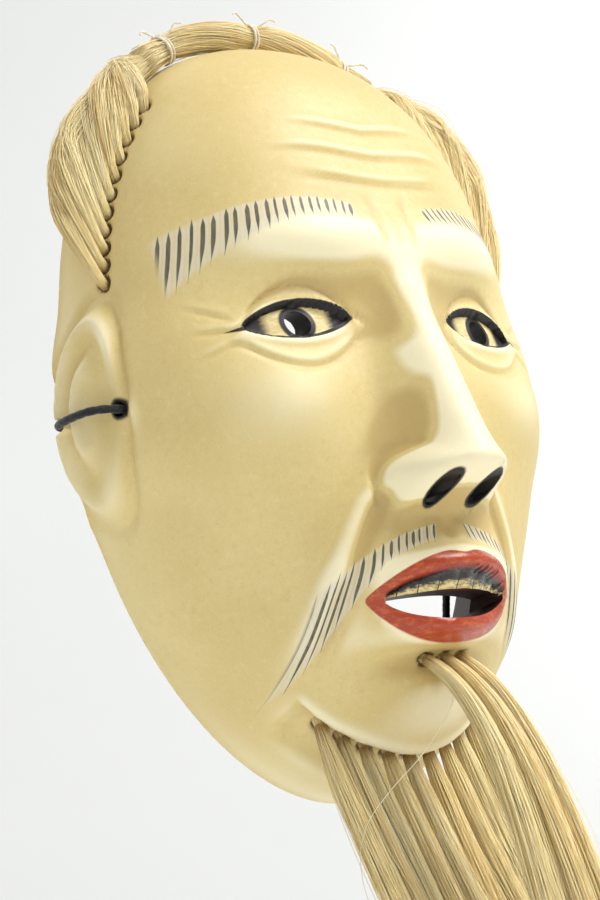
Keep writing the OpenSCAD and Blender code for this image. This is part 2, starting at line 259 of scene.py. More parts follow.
def age_lines(m, z):
    """Generic soft folds: three brow arcs, crow's feet, cheek folds, a groove under the nose and a
    frown line between the brows.
    """
    lines = np.zeros_like(m)
    for k, (rise, reach) in enumerate(((55.0, 30.0), (62.5, 34.0), (70.0, 28.0))):
        path = rise - 2.2 * np.cos(m / 11.0 + 0.25 * k) - 0.003 * m ** 2
        share = smooth((reach - m) / 16)
        lines += share * (0.60 * groove(z - path, 1.3) - 0.50 * groove(z - path + 2.5, 1.0))
    for k in range(3):
        slope = 0.42 * (k - 1)
        path = EYE_Z - 1.5 + slope * (m - 47) + 3.0 * (k - 1)
        share = smooth((m - 46.5) / 3) * smooth((59 - m) / 6)
        lines += share * (-0.6 * groove(z - path, 0.9) + 0.3 * groove(z - path - 1.6, 1.1))
    fold = 16.0 + 15.5 * np.sin(np.clip((-30 - z) / 46, 0, 1) * 1.5) ** 0.9
    share = smooth((-27 - z) / 7) * smooth((z + 78) / 14)
    lines += share * (-1.5 * groove(m - fold, 2.4) + 1.2 * groove(m - fold - 4.6, 3.4))
    groove_up = smooth((z + 46) / 4) * smooth((-38.5 - z) / 3)
    lines += groove_up * (-1.0 * groove(m, 2.2) + 0.5 * groove(m - 3.6, 1.6))
    frown = smooth((z - 30) / 5) * smooth((50 - z) / 8)
    lines += frown * (-0.7 * groove(m - 5.2 - 0.05 * (z - 36), 1.1))
    return lines


def nostril_wings(m, z):
    wing = smooth((z + 37) / 4) * smooth((-17 - z) / 6)
    return (-1.6 * groove(np.hypot((m - 12.0) / 1.0, (z + 29.5) / 1.1) - 7.8, 1.2) * wing
            * smooth((m - 8) / 4))


def carving(x, z):
    m = np.abs(x)
    return eye_carving(m, z) + mouth_carving(x, z) + age_lines(m, z) + nostril_wings(m, z)


def ear_carving(a, t, z):
    """Outward, on the sides only. p is the way forward from the rim, q the height, in mm."""
    p = 105 * (1 - t)
    q = z + 2
    across, along = (p - 12.5 - 0.10 * q) / 12.5, q / 28.0
    inside = (np.hypot(across, along) - 1) * 13
    plate = 1.1 * smooth(-inside / 3)
    back = smooth((0.45 - across) / 0.7)
    top = smooth((along - 0.2) / 0.5)
    rim = np.clip(np.maximum(back, top), 0, 1)
    helix = 1.5 * groove(inside + 2.4, 1.4) * rim
    valley = -1.7 * groove(inside + 5.4, 1.3) * rim
    inner = smooth((0.35 - across) / 0.5) * smooth((along + 0.6) / 0.4)
    fold = 1.3 * groove(inside + 8.4, 1.3) * inner
    bowl = -2.2 * np.exp(-((p - 19) / 5.0) ** 2 - ((q + 2) / 8.5) ** 2)
    tragus = 1.3 * np.exp(-((p - 26.5) / 2.2) ** 2 - ((q + 2.5) / 4.5) ** 2)
    lobe = 1.2 * np.exp(-((p - 14) / 5.0) ** 2 - ((q + 21) / 5.5) ** 2)
    seam = -1.3 * groove(inside - 1.0, 1.1)
    share = smooth((0.30 - np.abs(sind(a)) + 0.20) / 0.12)
    return share * (plate + helix + valley + fold + bowl + tragus + lobe + seam)


# ---- grid meshes --------------------------------------------------------

def disc_grid(n, crowd):
    """Angle and t of an n by n grid laid over the disc, closer together in the middle."""
    s = np.linspace(-1, 1, n + 1)
    s = s * (1 - crowd + crowd * s * s)
    p, q = np.meshgrid(s, s, indexing="ij")
    u, v = p * np.sqrt(1 - q * q / 2), q * np.sqrt(1 - p * p / 2)
    return np.degrees(np.arctan2(v, u)) % 360, np.clip(np.hypot(u, v), 0, 1)


def grid_normals(points):
    du = np.gradient(points, axis=0)
    dv = np.gradient(points, axis=1)
    n = np.cross(du, dv)
    return n / np.maximum(np.linalg.norm(n, axis=-1, keepdims=True), 1e-9)


def blur(field, width):
    """A field of a grid, averaged over about width steps each way."""
    reach = np.arange(-3 * width, 3 * width + 1)
    kernel = np.exp(-(reach / width) ** 2 / 2)
    kernel /= kernel.sum()
    pad = 3 * width
    for axis in (0, 1):
        wide = np.pad(field, [(pad, pad) if k == axis else (0, 0) for k in (0, 1)], "reflect",
                      reflect_type="odd")
        field = np.apply_along_axis(lambda row: np.convolve(row, kernel, "valid"), axis, wide)
    return field


HOLES = [("pupil", EYE_X, EYE_Z, PUPIL_R), ("pupil", -EYE_X, EYE_Z, PUPIL_R),
         ("nostril", NOSTRIL_X, NOSTRIL_Z, NOSTRIL_R),
         ("nostril", -NOSTRIL_X, NOSTRIL_Z, NOSTRIL_R),
         ("mouth", 0.0, MOUTH_Z - 2.5, 0.0), ("ear", 1.0, CORD_Z, CORD_HOLE_R),
         ("ear", -1.0, CORD_Z, CORD_HOLE_R)]


def hole_distance(hole, p):
    """Distance outside the hole's edge, negative inside, and the way out of it in x, y, z."""
    kind, cx, cz, r = hole
    out = np.zeros_like(p)
    if kind == "mouth":
        _, _, gap, low, _ = mouth_lines(p[..., 0])
        over, under = p[..., 2] - gap, low - p[..., 2]
        beyond = np.abs(p[..., 0]) - MOUTH_W / 2
        d = np.maximum(np.maximum(over, under), beyond)
        out[..., 2] = np.where(over > under, 1.0, -1.0)
        return d, out
    ear = kind == "ear"
    u, centre = (1, CORD_Y) if ear else (0, cx)
    du, dv = p[..., u] - centre, p[..., 2] - cz
    length = np.maximum(np.hypot(du, dv), 1e-6)
    out[..., u], out[..., 2] = du / length, dv / length
    far = np.where(p[..., 0] * cx > 0, 0.0, 99.0) if ear else 0.0
    return length - r + far, out


def snap_holes(points, height):
    """Moves the vertices nearest to each hole's edge onto it. Returns how far outside each is.

    Of two neighbours that would meet there, the one from further away stays where it is.
    """
    steps = np.maximum(
        np.linalg.norm(np.gradient(points, axis=0), axis=-1),
        np.linalg.norm(np.gradient(points, axis=1), axis=-1))
    distances = []
    for hole in HOLES:
        d, out = hole_distance(hole, points)
        reach = 0.62 * steps if hole[0] != "ear" else 0.75 * steps
        near = np.abs(d) < reach
        moved = points - d[..., None] * out
        if hole[0] != "ear":
            moved[..., 1] = height(moved[..., 0], moved[..., 2])
        trial = np.where(near[..., None], moved, points)
        for axis in (0, 1):
            met = np.linalg.norm(np.diff(trial, axis=axis), axis=-1) < MEETING
            for i, j in np.argwhere(met):
                pair = [(i, j), (i + 1 - axis, j + axis)]
                further = max(pair, key=lambda v: abs(d[v]))
                near[further] = False
        points[near] = moved[near]
        d = np.where(near, 0.0, d)
        distances.append(d)
    return distances


def perimeter(n):
    k = np.arange(n)
    w = n + 1
    return np.concatenate([k * w, n * w + k, (n - k) * w + n, n - k])


def strip(loop_a, angle_a, loop_b, angle_b):
    """Triangles between two rings of vertices, matched by how far round each is, 0 to 360."""
    a, b = loop_a[np.argsort(angle_a)], loop_b[np.argsort(angle_b)]
    sa, sb = np.sort(angle_a), np.sort(angle_b)
    faces = []
    i = j = 0
    while i < len(a) or j < len(b):
        next_a = sa[(i + 1) % len(a)] + (360 if i + 1 >= len(a) else 0)
        next_b = sb[(j + 1) % len(b)] + (360 if j + 1 >= len(b) else 0)
        p, q = a[i % len(a)], b[j % len(b)]
        if i < len(a) and (next_a <= next_b or j >= len(b)):
            faces.append((p, q, a[(i + 1) % len(a)]))
            i += 1
        else:
            faces.append((p, q, b[(j + 1) % len(b)]))
            j += 1
    return faces


def hole_cells(d, n):
    """The grid's cells inside a hole, as one patch whose cells never meet only at a corner."""
    inside = d.ravel()[grid_quads(n)]
    gone = ((inside.max(1) <= 1e-6) & (inside.mean(1) < 0)).reshape(n, n)
    depth = np.where(gone, inside.mean(1).reshape(n, n), 1e9)
    part = np.zeros_like(gone)
    part[np.unravel_index(np.argmin(depth), gone.shape)] = True
    while True:
        grown = part.copy()
        grown[1:] |= part[:-1]
        grown[:-1] |= part[1:]
        grown[:, 1:] |= part[:, :-1]
        grown[:, :-1] |= part[:, 1:]
        grown &= gone | part
        a, b, c, e = grown[:-1, :-1], grown[:-1, 1:], grown[1:, :-1], grown[1:, 1:]
        corner = (a & e & ~b & ~c) | (b & c & ~a & ~e)
        for cells in (a, b, c, e):
            cells |= corner
        if (grown == part).all():
            return part.ravel()
        part = grown


def hole_loop(cells, quads, points, hole):
    """The vertices round the cells left out, in order, and how far round each is, to 360."""
    inner = quads[cells]
    ends = {tuple(e) for k in range(4) for e in inner[:, [k, (k + 1) % 4]].tolist()}
    onward = {a: b for a, b in ends if (b, a) not in ends}
    axis = 1 if hole[0] == "ear" else 0
    ring = [max(onward, key=lambda v: points[v][axis])]
    while onward[ring[-1]] != ring[0]:
        ring.append(onward[ring[-1]])
    far = np.linalg.norm(np.diff(points[ring + ring[:1]], axis=0), axis=1)
    return np.array(ring), np.concatenate([[0], np.cumsum(far)[:-1]]) / far.sum() * 360


def grid_quads(n):
    k = np.arange(n)
    i, j = np.meshgrid(k, k, indexing="ij")
    p = (i * (n + 1) + j).ravel()
    return np.stack([p, p + n + 1, p + n + 2, p + 1], 1)


def notch_shift(points):
    """The notch that the cord lies in, cut into the rim."""
    here = smooth((NOTCH_W / 2 + 0.5 - np.abs(points[..., 2] - CORD_Z)) / 0.9)
    here = here * smooth((points[..., 1] + 9) / 8) * (np.abs(points[..., 0]) > 40)
    return (NOTCH_DEPTH - 0.2) * here


def lock_angle(k):
    """Where a side's tuft k sits, in degrees from the ear's height up to the crown."""
    return LOCK_FROM + (LOCK_TO - LOCK_FROM) * k / (SIDELOCK_TUFTS - 1)


def tuft_roots():
    """Every tuft's root and the way out of the wood, by kind."""
    found = {}
    for side in (1, -1):
        rows = []
        for k in range(SIDELOCK_TUFTS):
            a = lock_angle(k)
            p = front(a, LOCK_T)
            out = np.array([cosd(a), -0.45, sind(a)])
            mirror = np.array([side, 1, 1])
            rows.append((p * mirror, out / np.linalg.norm(out) * mirror))
        found["left" if side > 0 else "right"] = rows
    out = np.array([0, -1, -0.6])
    z = MOUTH_Z - 15
    rows = []
    for k in range(LIP_TUFTS):
        x = (k - (LIP_TUFTS - 1) / 2) * LIP_PITCH
        rows.append((front(*at_xz(x, z)), out / np.linalg.norm(out)))
    found["lip"] = rows
    out = np.array([0, -0.3, -1])
    found["chin"] = [(front(270 + (k - (CHIN_TUFTS - 1) / 2) * CHIN_PITCH, CHIN_T),
                      out / np.linalg.norm(out)) for k in range(CHIN_TUFTS)]
    return found


ROOTS = tuft_roots()


def front_points(n):
    a, t = disc_grid(n, 0.22)
    t = t * 0.9965
    points = front(a, t)
    base = points.copy()
    share = fade(t) ** 0.5
    points[..., 1] -= share * carving(points[..., 0], points[..., 2])
    normals = grid_normals(base)
    flip = np.sign(np.sum(normals * (base - np.array([0, 20.0, 0])), -1, keepdims=True))
    normals *= np.where(flip == 0, 1, flip)
    turn = np.abs(a - 270)
    lip = smooth((LEDGE_SPAN + 1 - turn) / 3) * groove(t - LEDGE_T[1] + 0.022, 0.016)
    lip = lip * (t < LEDGE_T[1] - 0.004)
    points += normals * (ear_carving(a, t, points[..., 2]) + 0.9 * lip)[..., None]

    def height(x, z):
        aa, tt = at_xz(x, z)
        return front(aa, tt)[..., 1] - fade(tt) ** 0.5 * carving(x, z)

    distances = snap_holes(points, height)
    pits = np.zeros(points.shape[:2])
    for kind, rows in ROOTS.items():
        for p, _ in rows:
            d = np.linalg.norm(points - p, axis=-1)
            here = smooth((TUFT_D / 2 + 0.9 - d) / 0.8)
            pits = np.maximum(pits, np.where((turn < 30) & (t < LEDGE_T[1]), 0.0, here)
                              if kind == "chin" else here)
    points -= normals * (1.1 * pits)[..., None]
    ridge = blur(points[..., 1], 5) - points[..., 1]
    return points, distances, ridge, pits


def back_points(n):
    a, t = disc_grid(n, 0.12)
    points = hollow(a, t * 0.9955)
    marks = RANDOM.uniform(-1, 1, (900, 2)) * np.array([74, 104])
    flat = points[..., [0, 2]].reshape(-1, 2)
    near = np.full(len(flat), 1e9)
    for start in range(0, len(marks), 150):
        block = marks[start:start + 150]
        d = ((flat[:, None, :] - block[None]) ** 2 / np.array([1.0, 2.6])).sum(-1)
        near = np.minimum(near, d.min(1))
    dish = 0.032 * np.minimum(near, 30).reshape(points.shape[:2])
    points[..., 1] += dish * fade(t)

    def height(x, z):
        return hollow(*at_xz(x, z, RIM_WALL))[..., 1]

    return points, snap_holes(points, height)


def new_object(name, verts, groups, materials=(), attributes=()):
    """A mesh from vertices in mm and groups of (faces, material slot), alike in sides."""
    mesh = bpy.data.meshes.new(name)
    verts = np.asarray(verts, float).reshape(-1, 3) * MM
    groups = [(np.asarray(faces, np.int32), slot) for faces, slot in groups if len(faces)]
    loops = np.concatenate([faces.ravel() for faces, _ in groups])
    sides = np.concatenate([np.full(len(faces), faces.shape[1]) for faces, _ in groups])
    slots = np.concatenate([np.full(len(faces), slot) for faces, slot in groups])
    mesh.vertices.add(len(verts))
    mesh.vertices.foreach_set("co", verts.ravel())
    mesh.loops.add(len(loops))
    mesh.loops.foreach_set("vertex_index", loops)
    mesh.polygons.add(len(sides))
    mesh.polygons.foreach_set("loop_start", (np.cumsum(sides) - sides).astype(np.int32))
    for material in materials:
        mesh.materials.append(material)
    mesh.polygons.foreach_set("material_index", slots.astype(np.int32))
    mesh.update(calc_edges=True)
    for key, values in attributes:
        layer = mesh.attributes.new(key, "FLOAT", "POINT")
        layer.data.foreach_set("value", np.asarray(values, np.float32).ravel())
    mesh.shade_smooth()
    return placed(name, mesh)


def hold(piece, kind, *nodes):
    """Hides the CAD nodes a piece stands for and puts the piece on the body that doesn't move. kind
    is not used.
    """
    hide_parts(*nodes)
    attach(piece, ROOT)


def outward(obj):
    """Turns every face outwards, on a closed mesh."""
    bm = bmesh.new()
    bm.from_mesh(obj.data)
    bmesh.ops.recalc_face_normals(bm, faces=bm.faces)
    bm.to_mesh(obj.data)
    bm.free()


def build_shell(paint, lacquer, mouth_paint, dark):
    n, m = FRONT_GRID, BACK_GRID
    outer, outer_d, ridge, pits = front_points(n)
    inner, inner_d = back_points(m)
    for points in (outer, inner):
        points[..., 1] -= notch_shift(points)
    start = (n + 1) ** 2
    verts = [outer.reshape(-1, 3), inner.reshape(-1, 3)]
    quads, quads_in = grid_quads(n), grid_quads(m)
    out, out_in = np.zeros(len(quads), bool), np.zeros(len(quads_in), bool)
    front_slot, back_slot, mouth_slot, dark_slot = range(4)
    walls = []
    for hole, d, d_in in zip(HOLES, outer_d, inner_d):
        cells, cells_in = hole_cells(d, n), hole_cells(d_in, m)
        ring, share = hole_loop(cells, quads, verts[0], hole)
        ring_in, share_in = hole_loop(cells_in, quads_in, verts[1], hole)
        walls.append((strip(ring, share, ring_in + start, share_in),
                      mouth_slot if hole[0] == "mouth" else dark_slot))
        out |= cells
        out_in |= cells_in
    groups = [(quads[~out], front_slot), (quads_in[~out_in] + start, back_slot), *walls]
    edge, edge_in = perimeter(n), perimeter(m)
    rings = []
    for loop, points, inset in ((edge, verts[0], -0.7), (edge_in, verts[1], 0.6)):
        p = points[loop]
        r = np.hypot(p[:, 0], p[:, 2])
        ring = p * ((r + inset) / r)[:, None]
        ring[:, 1] = -notch_shift(np.stack([ring[:, 0], np.zeros(len(ring)), ring[:, 2]], -1))
        rings.append(ring)
    base = start + (m + 1) ** 2
    verts += rings
    verts = np.concatenate(verts)

    def angles(index):
        return np.degrees(np.arctan2(verts[index, 2], verts[index, 0])) % 360

    bevel, bevel_in = base + np.arange(len(edge)), base + len(edge) + np.arange(len(edge_in))
    for p, q, slot in ((edge, bevel, front_slot), (bevel, bevel_in, back_slot),
                       (bevel_in, edge_in + start, back_slot)):
        groups.append((strip(p, angles(p), q, angles(q)), slot))
    extra = len(verts) - len(ridge.ravel())
    shell = new_object("carved_mask", verts, groups, (paint, lacquer, mouth_paint, dark),
                       (("ridge", np.concatenate([ridge.ravel(), np.zeros(extra)])),
                        ("pit", np.concatenate([pits.ravel(), np.zeros(extra)]))))
    outward(shell)
    shell.data.set_sharp_from_angle(angle=math.radians(55))
    hold(shell, "painted_wood", "mask_shell")


# ---- materials ----------------------------------------------------------

class Number:
    """A value in a shader, so that patterns are written as plain formulas."""

    def __init__(self, tree, socket):
        self.tree, self.socket = tree, socket

    def math(self, operation, *others, first=None):
        node = self.tree.nodes.new("ShaderNodeMath")
        node.operation = operation
        for k, value in enumerate([self if first is None else first, *others]):
            if isinstance(value, Number):
                self.tree.links.new(value.socket, node.inputs[k])
            else:
                node.inputs[k].default_value = float(value)
        return Number(self.tree, node.outputs[0])

    def __add__(self, o):
        return self.math("ADD", o)

    __radd__ = __add__

    def __sub__(self, o):
        return self.math("SUBTRACT", o)

    def __rsub__(self, o):
        return self.math("SUBTRACT", self, first=o)

    def __mul__(self, o):
        return self.math("MULTIPLY", o)

    __rmul__ = __mul__

    def __truediv__(self, o):
        return self.math("DIVIDE", o)

    def __neg__(self):
        return self.math("MULTIPLY", -1)

    def __abs__(self):
        return self.math("ABSOLUTE")

    def __pow__(self, o):
        return self.math("POWER", o)

    def most(self, o):
        return self.math("MAXIMUM", o)

    def floor(self):
        return self.math("FLOOR")

    def fraction(self):
        return self.math("FRACT")

    def ramp(self, low, high):
        """0 at low, 1 at high and smooth in between. low may be over high."""
        node = self.tree.nodes.new("ShaderNodeMapRange")
        node.interpolation_type = "SMOOTHSTEP"
        self.tree.links.new(self.socket, node.inputs["Value"])
        low, high, flipped = (low, high, False) if low < high else (high, low, True)
        for key, value in (("From Min", low), ("From Max", high), ("To Min", float(flipped)),
                           ("To Max", float(not flipped))):
            node.inputs[key].default_value = value
        return Number(self.tree, node.outputs["Result"])


class Finish:
    """A material with its Principled shader and the coordinates of the row frame, in mm."""

    def __init__(self, name, roughness=0.6):
        self.material = bpy.data.materials.new(name)
        self.material.use_nodes = True
        self.tree = self.material.node_tree
        self.shader = self.tree.nodes["Principled BSDF"]
        self.shader.inputs["Roughness"].default_value = roughness
        self.place = self.tree.nodes.new("ShaderNodeTexCoord").outputs["Object"]
        split = self.tree.nodes.new("ShaderNodeSeparateXYZ")
        self.tree.links.new(self.place, split.inputs[0])
        self.x, self.y, self.z = (Number(self.tree, split.outputs[k]) * 1000 for k in range(3))

    def attribute(self, name):
        node = self.tree.nodes.new("ShaderNodeAttribute")
        node.attribute_name = name
        return Number(self.tree, node.outputs["Fac"])

    def noise(self, scale, detail=4.0, rough=0.55, stretch=None):
        """Noise about 0.5. scale is in features to the metre, stretch multiplies it by axis."""
        node = self.tree.nodes.new("ShaderNodeTexNoise")
        for key, value in (("Scale", scale), ("Detail", detail), ("Roughness", rough)):
            node.inputs[key].default_value = value
        place = self.place
        if stretch:
            scaling = self.tree.nodes.new("ShaderNodeVectorMath")
            scaling.operation = "MULTIPLY"
            scaling.inputs[1].default_value = stretch
            self.tree.links.new(place, scaling.inputs[0])
            place = scaling.outputs[0]
        self.tree.links.new(place, node.inputs["Vector"])
        return Number(self.tree, node.outputs["Fac"])

    def chance(self, number):
        """A random value from 0 to 1 that stays the same for each whole number."""
        node = self.tree.nodes.new("ShaderNodeTexWhiteNoise")
        node.noise_dimensions = "1D"
        self.tree.links.new(number.socket, node.inputs["W"])
        return Number(self.tree, node.outputs["Value"])

    def mix(self, low, high, share):
        """low turns to high as share goes from 0 to 1. Each is a colour or a colour socket."""
        node = self.tree.nodes.new("ShaderNodeMix")
        node.data_type = "RGBA"
        for value, key in ((low, 6), (high, 7)):
            if isinstance(value, tuple):
                node.inputs[key].default_value = (*value, 1.0)
            else:
                self.tree.links.new(value, node.inputs[key])
        self.tree.links.new(share.socket, node.inputs[0])
        return node.outputs[2]

    def over(self, below, shade, share):
        """A shade, 0 to 255, laid over a colour."""
        return self.mix(below, srgb(*shade), share)

    def colour(self, socket):
        self.tree.links.new(socket, self.shader.inputs["Base Color"])

    def set(self, **values):
        """Numbers that are the same all over, by the socket's name with _ for a space."""
        for key, value in values.items():
            self.shader.inputs[key.replace("_", " ")].default_value = value

    def rough(self, number):
        self.tree.links.new(number.socket, self.shader.inputs["Roughness"])

    def bump(self, height, distance):
        """height, about 0 to 1, raises the surface by distance in mm."""
        node = self.tree.nodes.new("ShaderNodeBump")
        node.inputs["Distance"].default_value = distance * MM
        node.inputs["Strength"].default_value = 1.0
        self.tree.links.new(height.socket, node.inputs["Height"])
        self.tree.links.new(node.outputs[0], self.shader.inputs["Normal"])


def srgb(r, g, b):
    """A colour given as on a screen, 0 to 255, in the linear values that shaders use."""
    return tuple((v / 255 / 12.92) if v < 11 else ((v / 255 + 0.055) / 1.055) ** 2.4
                 for v in (r, g, b))


def painted_hairs(f, across, v, pitch, width):
    """Brush strokes side by side. v runs from 0 at their tops to 1 at their tips."""
    number = (across / pitch).floor()
    luck = f.chance(number)
    luck_2 = f.chance(number + 57)
    middle = (across / pitch).fraction() - 0.5 + (luck - 0.5) * 0.22
    start = v - luck_2 * 0.10
    body = start.ramp(-0.06, 0.16) * v.ramp(1.0, 0.55)
    half = (width / pitch) * (body * 0.75 + 0.10 * luck) * (0.75 + 0.5 * luck_2)
    return (abs(middle) - half).ramp(0.045, -0.045) * start.ramp(-0.05, 0.0) * v.ramp(1.04, 0.98)


def hair_band(f, colour, across, v, inside, pitch, width):
    """The pale wash of a painted brow or moustache, with dark strokes over it."""
    streaks = f.noise(900, 3.0, 0.6, (1.0, 1.0, 0.12))
    gaps = abs((across / pitch).fraction() - 0.5).ramp(0.5, 0.32)
    wash = v.ramp(0.0, 0.10) * v.ramp(1.0, 0.84) * inside * (0.55 + 0.45 * gaps)
    wash = wash * (streaks.ramp(0.25, 0.7) * 0.35 + 0.55)
    colour = f.over(colour, (222, 214, 190), wash)
    strokes = painted_hairs(f, across, v, pitch, width) * inside
    strokes = strokes * (0.72 + 0.35 * streaks)
    return f.mix(colour, srgb(72, 64, 42), strokes)


def gofun_paint():
    """The painted front: ochre shell-white, brows, eyes, moustache, lips and teeth."""
    f = Finish("painted_gofun", 0.48)
    m, z = abs(f.x), f.z
    ridge, pit = f.attribute("ridge"), f.attribute("pit")
    soft, fine, dust = f.noise(14, 3.0), f.noise(500, 5.0, 0.6), f.noise(2200, 3.0, 0.7)
    colour = f.mix(srgb(214, 191, 126), srgb(226, 207, 147), soft.ramp(0.3, 0.7))
    # painted highlight: carving that stands above its surroundings, by the ridge attribute, is made
    # paler
    ridge_highlight = (ridge + (fine - 0.5) * 0.3).ramp(0.12, 1.0)
    for shade, share in (((200, 174, 108), fine.ramp(0.50, 0.85) * 0.45),
                         ((236, 220, 168), fine.ramp(0.50, 0.15) * 0.35),
                         ((182, 154, 92), dust.ramp(0.56, 0.78) * 0.40),
                         ((246, 234, 190), dust.ramp(0.44, 0.25) * 0.30),
                         # painted highlight: pale ivory over the raised carving
                         ((250, 241, 206), ridge_highlight * 0.85),
                         # painted shade: darker ochre in the hollows of the carving, where the
                         # ridge attribute is below zero
                         ((176, 146, 84), (-ridge).ramp(0.10, 1.1) * 0.55)):
        colour = f.over(colour, shade, share)

    # brow
    top = 46.5 - 0.0075 * (m - 28) * (m - 28)
    tall = 5.0 + 0.0052 * (m - 10) * (m - 10)
    v = (top - z) / tall
    inside = m.ramp(11.0, 13.0) * m.ramp(60.0, 58.0)
    colour = hair_band(f, colour, m + 0.26 * (z - top), v, inside, 2.25, 0.52)

    # moustache
    top = -40.6 - 0.0118 * m * m
    tall = 4.6 + 18.5 * (m + 0.30 * (z - top)).ramp(17, 33)
    v = (top - z) / tall
    lean = m + 0.34 * (z - top) + 0.006 * (z - top) * (z - top)
    inside = lean.ramp(4.0, 5.0) * lean.ramp(34.5, 33.0)
    colour = hair_band(f, colour, lean, v, inside, 2.05, 0.48)

    # lips
    top, edge, gap, low, end = mouth_lines(m)
    red_streak = f.noise(330, 4.0, 0.6, (1.0, 1.0, 3.0))
    red = f.mix(srgb(170, 64, 34), srgb(206, 108, 66), red_streak.ramp(0.42, 0.8))
    red = f.mix(red, srgb(122, 34, 22), (z - edge).ramp(1.2, -0.2) * (z - low).ramp(1.0, 3.0))
    lips = (top - z).ramp(-0.15, 0.3) * (z - end).ramp(-0.15, 0.3) * m.ramp(24.4, 24.0)
    lips = lips * f.y.ramp(-30, -36)
    colour = f.mix(colour, red, lips)

    # teeth
    down = (edge - z) / (edge - gap + 0.3)
    scratch = f.noise(700, 4.0, 0.7, (0.5, 1.0, 1.6))
    tooth = f.mix(srgb(36, 34, 34), srgb(92, 90, 84), scratch.ramp(0.5, 0.8))
    bite = (down + (scratch - 0.5) * 0.9).ramp(0.42, 0.80)
    worn_end = f.mix(srgb(150, 122, 66), srgb(232, 212, 150), scratch.ramp(0.3, 0.6))
    tooth = f.mix(tooth, worn_end, bite)
    seam = abs((m / (6.2 - 0.05 * m)).fraction() - 0.5).ramp(0.455, 0.49)
    tooth = f.mix(tooth, srgb(20, 16, 14), seam)
    teeth = down.ramp(0.0, 0.06) * (z - gap).ramp(-1.5, -1.2) * m.ramp(20.4, 19.8)
    colour = f.mix(colour, tooth, teeth * f.y.ramp(-30, -36))

    # eyes
    ex, up, under = eye_lines(m)
    middle = EYE_Z - EYE_LEAN * ex
    inside = (up - z).ramp(-0.1, 0.2) * (z - under).ramp(-0.1, 0.2)
    white = f.mix(srgb(214, 186, 112), srgb(240, 224, 170), scratch.ramp(0.3, 0.7))
    corner = (abs(ex + 0.3) + (scratch - 0.5) * 2.5).ramp(7.2, 10.2)
    off = (ex * ex + (z - EYE_Z) * (z - EYE_Z)).math("SQRT")
    white = f.mix(white, srgb(24, 20, 18), corner.most(off.ramp(5.2, 4.5)))
    front_side = f.y.ramp(-26, -30)
    colour = f.mix(colour, white, inside * front_side)
    span = (abs(ex - 1.0)).ramp(17.5, 12.5)
    lid = (abs(z - up - 0.25) - 0.95 * span * (0.85 + 0.3 * scratch)).ramp(0.22, -0.1)
    low_lid = (abs(z - under + 0.10) - 0.42 * span).ramp(0.2, -0.05)
    tail = (abs(z - middle + 0.10 * (ex - EYE_HALF)) - 0.6 * ex.ramp(19.5, 13.5)).ramp(0.2, -0.05)
    tail = tail * ex.ramp(12.5, 13.5) * ex.ramp(19.5, 18.5)
    lined = lid.most(low_lid) * abs(ex).ramp(EYE_HALF + 0.6, EYE_HALF - 0.2)
    colour = f.over(colour, (26, 23, 22), lined.most(tail) * front_side)

    # nostrils, hair roots, cord hole and the worn edge of the rim
    nx, nz = m - NOSTRIL_X, z - NOSTRIL_Z
    hole = (nx * nx + nz * nz).math("SQRT").ramp(4.0, 3.4) * f.y.ramp(-52, -56)
    colour = f.over(colour, (20, 16, 14), hole)
    colour = f.over(colour, (88, 62, 34), pit.ramp(0.1, 0.7) * 0.9)
    hy, hz = f.y - CORD_Y, z - CORD_Z
    ear_hole = (hy * hy + hz * hz).math("SQRT").ramp(3.3, 2.2) * m.ramp(50, 55)
    colour = f.over(colour, (40, 26, 18), ear_hole)
    worn = (f.y + (fine - 0.5) * 1.2).ramp(-0.9, -0.3)
    colour = f.over(colour, (140, 104, 62), worn * 0.7)
    f.colour(colour)
    f.rough(0.50 - 0.24 * lips + 0.16 * (fine - 0.5) - 0.12 * teeth)
    f.bump(fine * 0.6 + dust * 0.4, 0.07)
    f.set(Subsurface_Weight=0.06, Subsurface_Radius=(0.004, 0.002, 0.001),
          Specular_IOR_Level=0.42, Sheen_Weight=0.04)
    return f.material


def back_lacquer():
    f = Finish("dark_lacquer", 0.38)
    soft, grain = f.noise(30, 5.0), f.noise(240, 5.0, 0.6, (1.0, 1.0, 0.06))
    colour = f.mix(srgb(44, 27, 20), srgb(74, 47, 33), soft.ramp(0.35, 0.7))
    colour = f.over(colour, (30, 18, 14), grain.ramp(0.5, 0.75) * 0.7)
    worn = (f.y + (soft - 0.5) * 5 + (grain - 0.5) * 3).ramp(-2.0, 0.3)
    colour = f.over(colour, (122, 88, 55), worn * 0.6)
    f.colour(colour)
    f.rough(0.34 + 0.3 * (soft - 0.4) + 0.15 * worn)
    f.bump(grain, 0.12)
    f.set(Coat_Weight=0.25, Coat_Roughness=0.25)
    return f.material


def mouth_red():
    f = Finish("mouth_red", 0.4)
    soft = f.noise(200, 5.0)
    deep = (f.y + (soft - 0.5) * 4).ramp(-62, -54)
    f.colour(f.mix(f.mix(srgb(158, 48, 28), srgb(186, 70, 44), soft), srgb(46, 22, 16), deep))
    f.rough(0.36 + 0.2 * soft)
    f.bump(soft, 0.15)
    return f.material


def plain(name, roughness, grain, dark, light, span=None, relief_height=0.0, **values):
    """A finish of two shades in a noise of (scale, detail)."""
    f = Finish(name, roughness)
    soft = f.noise(*grain)
    f.colour(f.mix(srgb(*dark), srgb(*light), soft.ramp(*span) if span else soft))
    if relief_height:
        f.bump(soft, relief_height)
    f.set(**values)
    return f.material


def black_paint():
    return plain("black_paint", 0.55, (300, 5.0), (20, 17, 15), (42, 34, 28), None, 0.15)


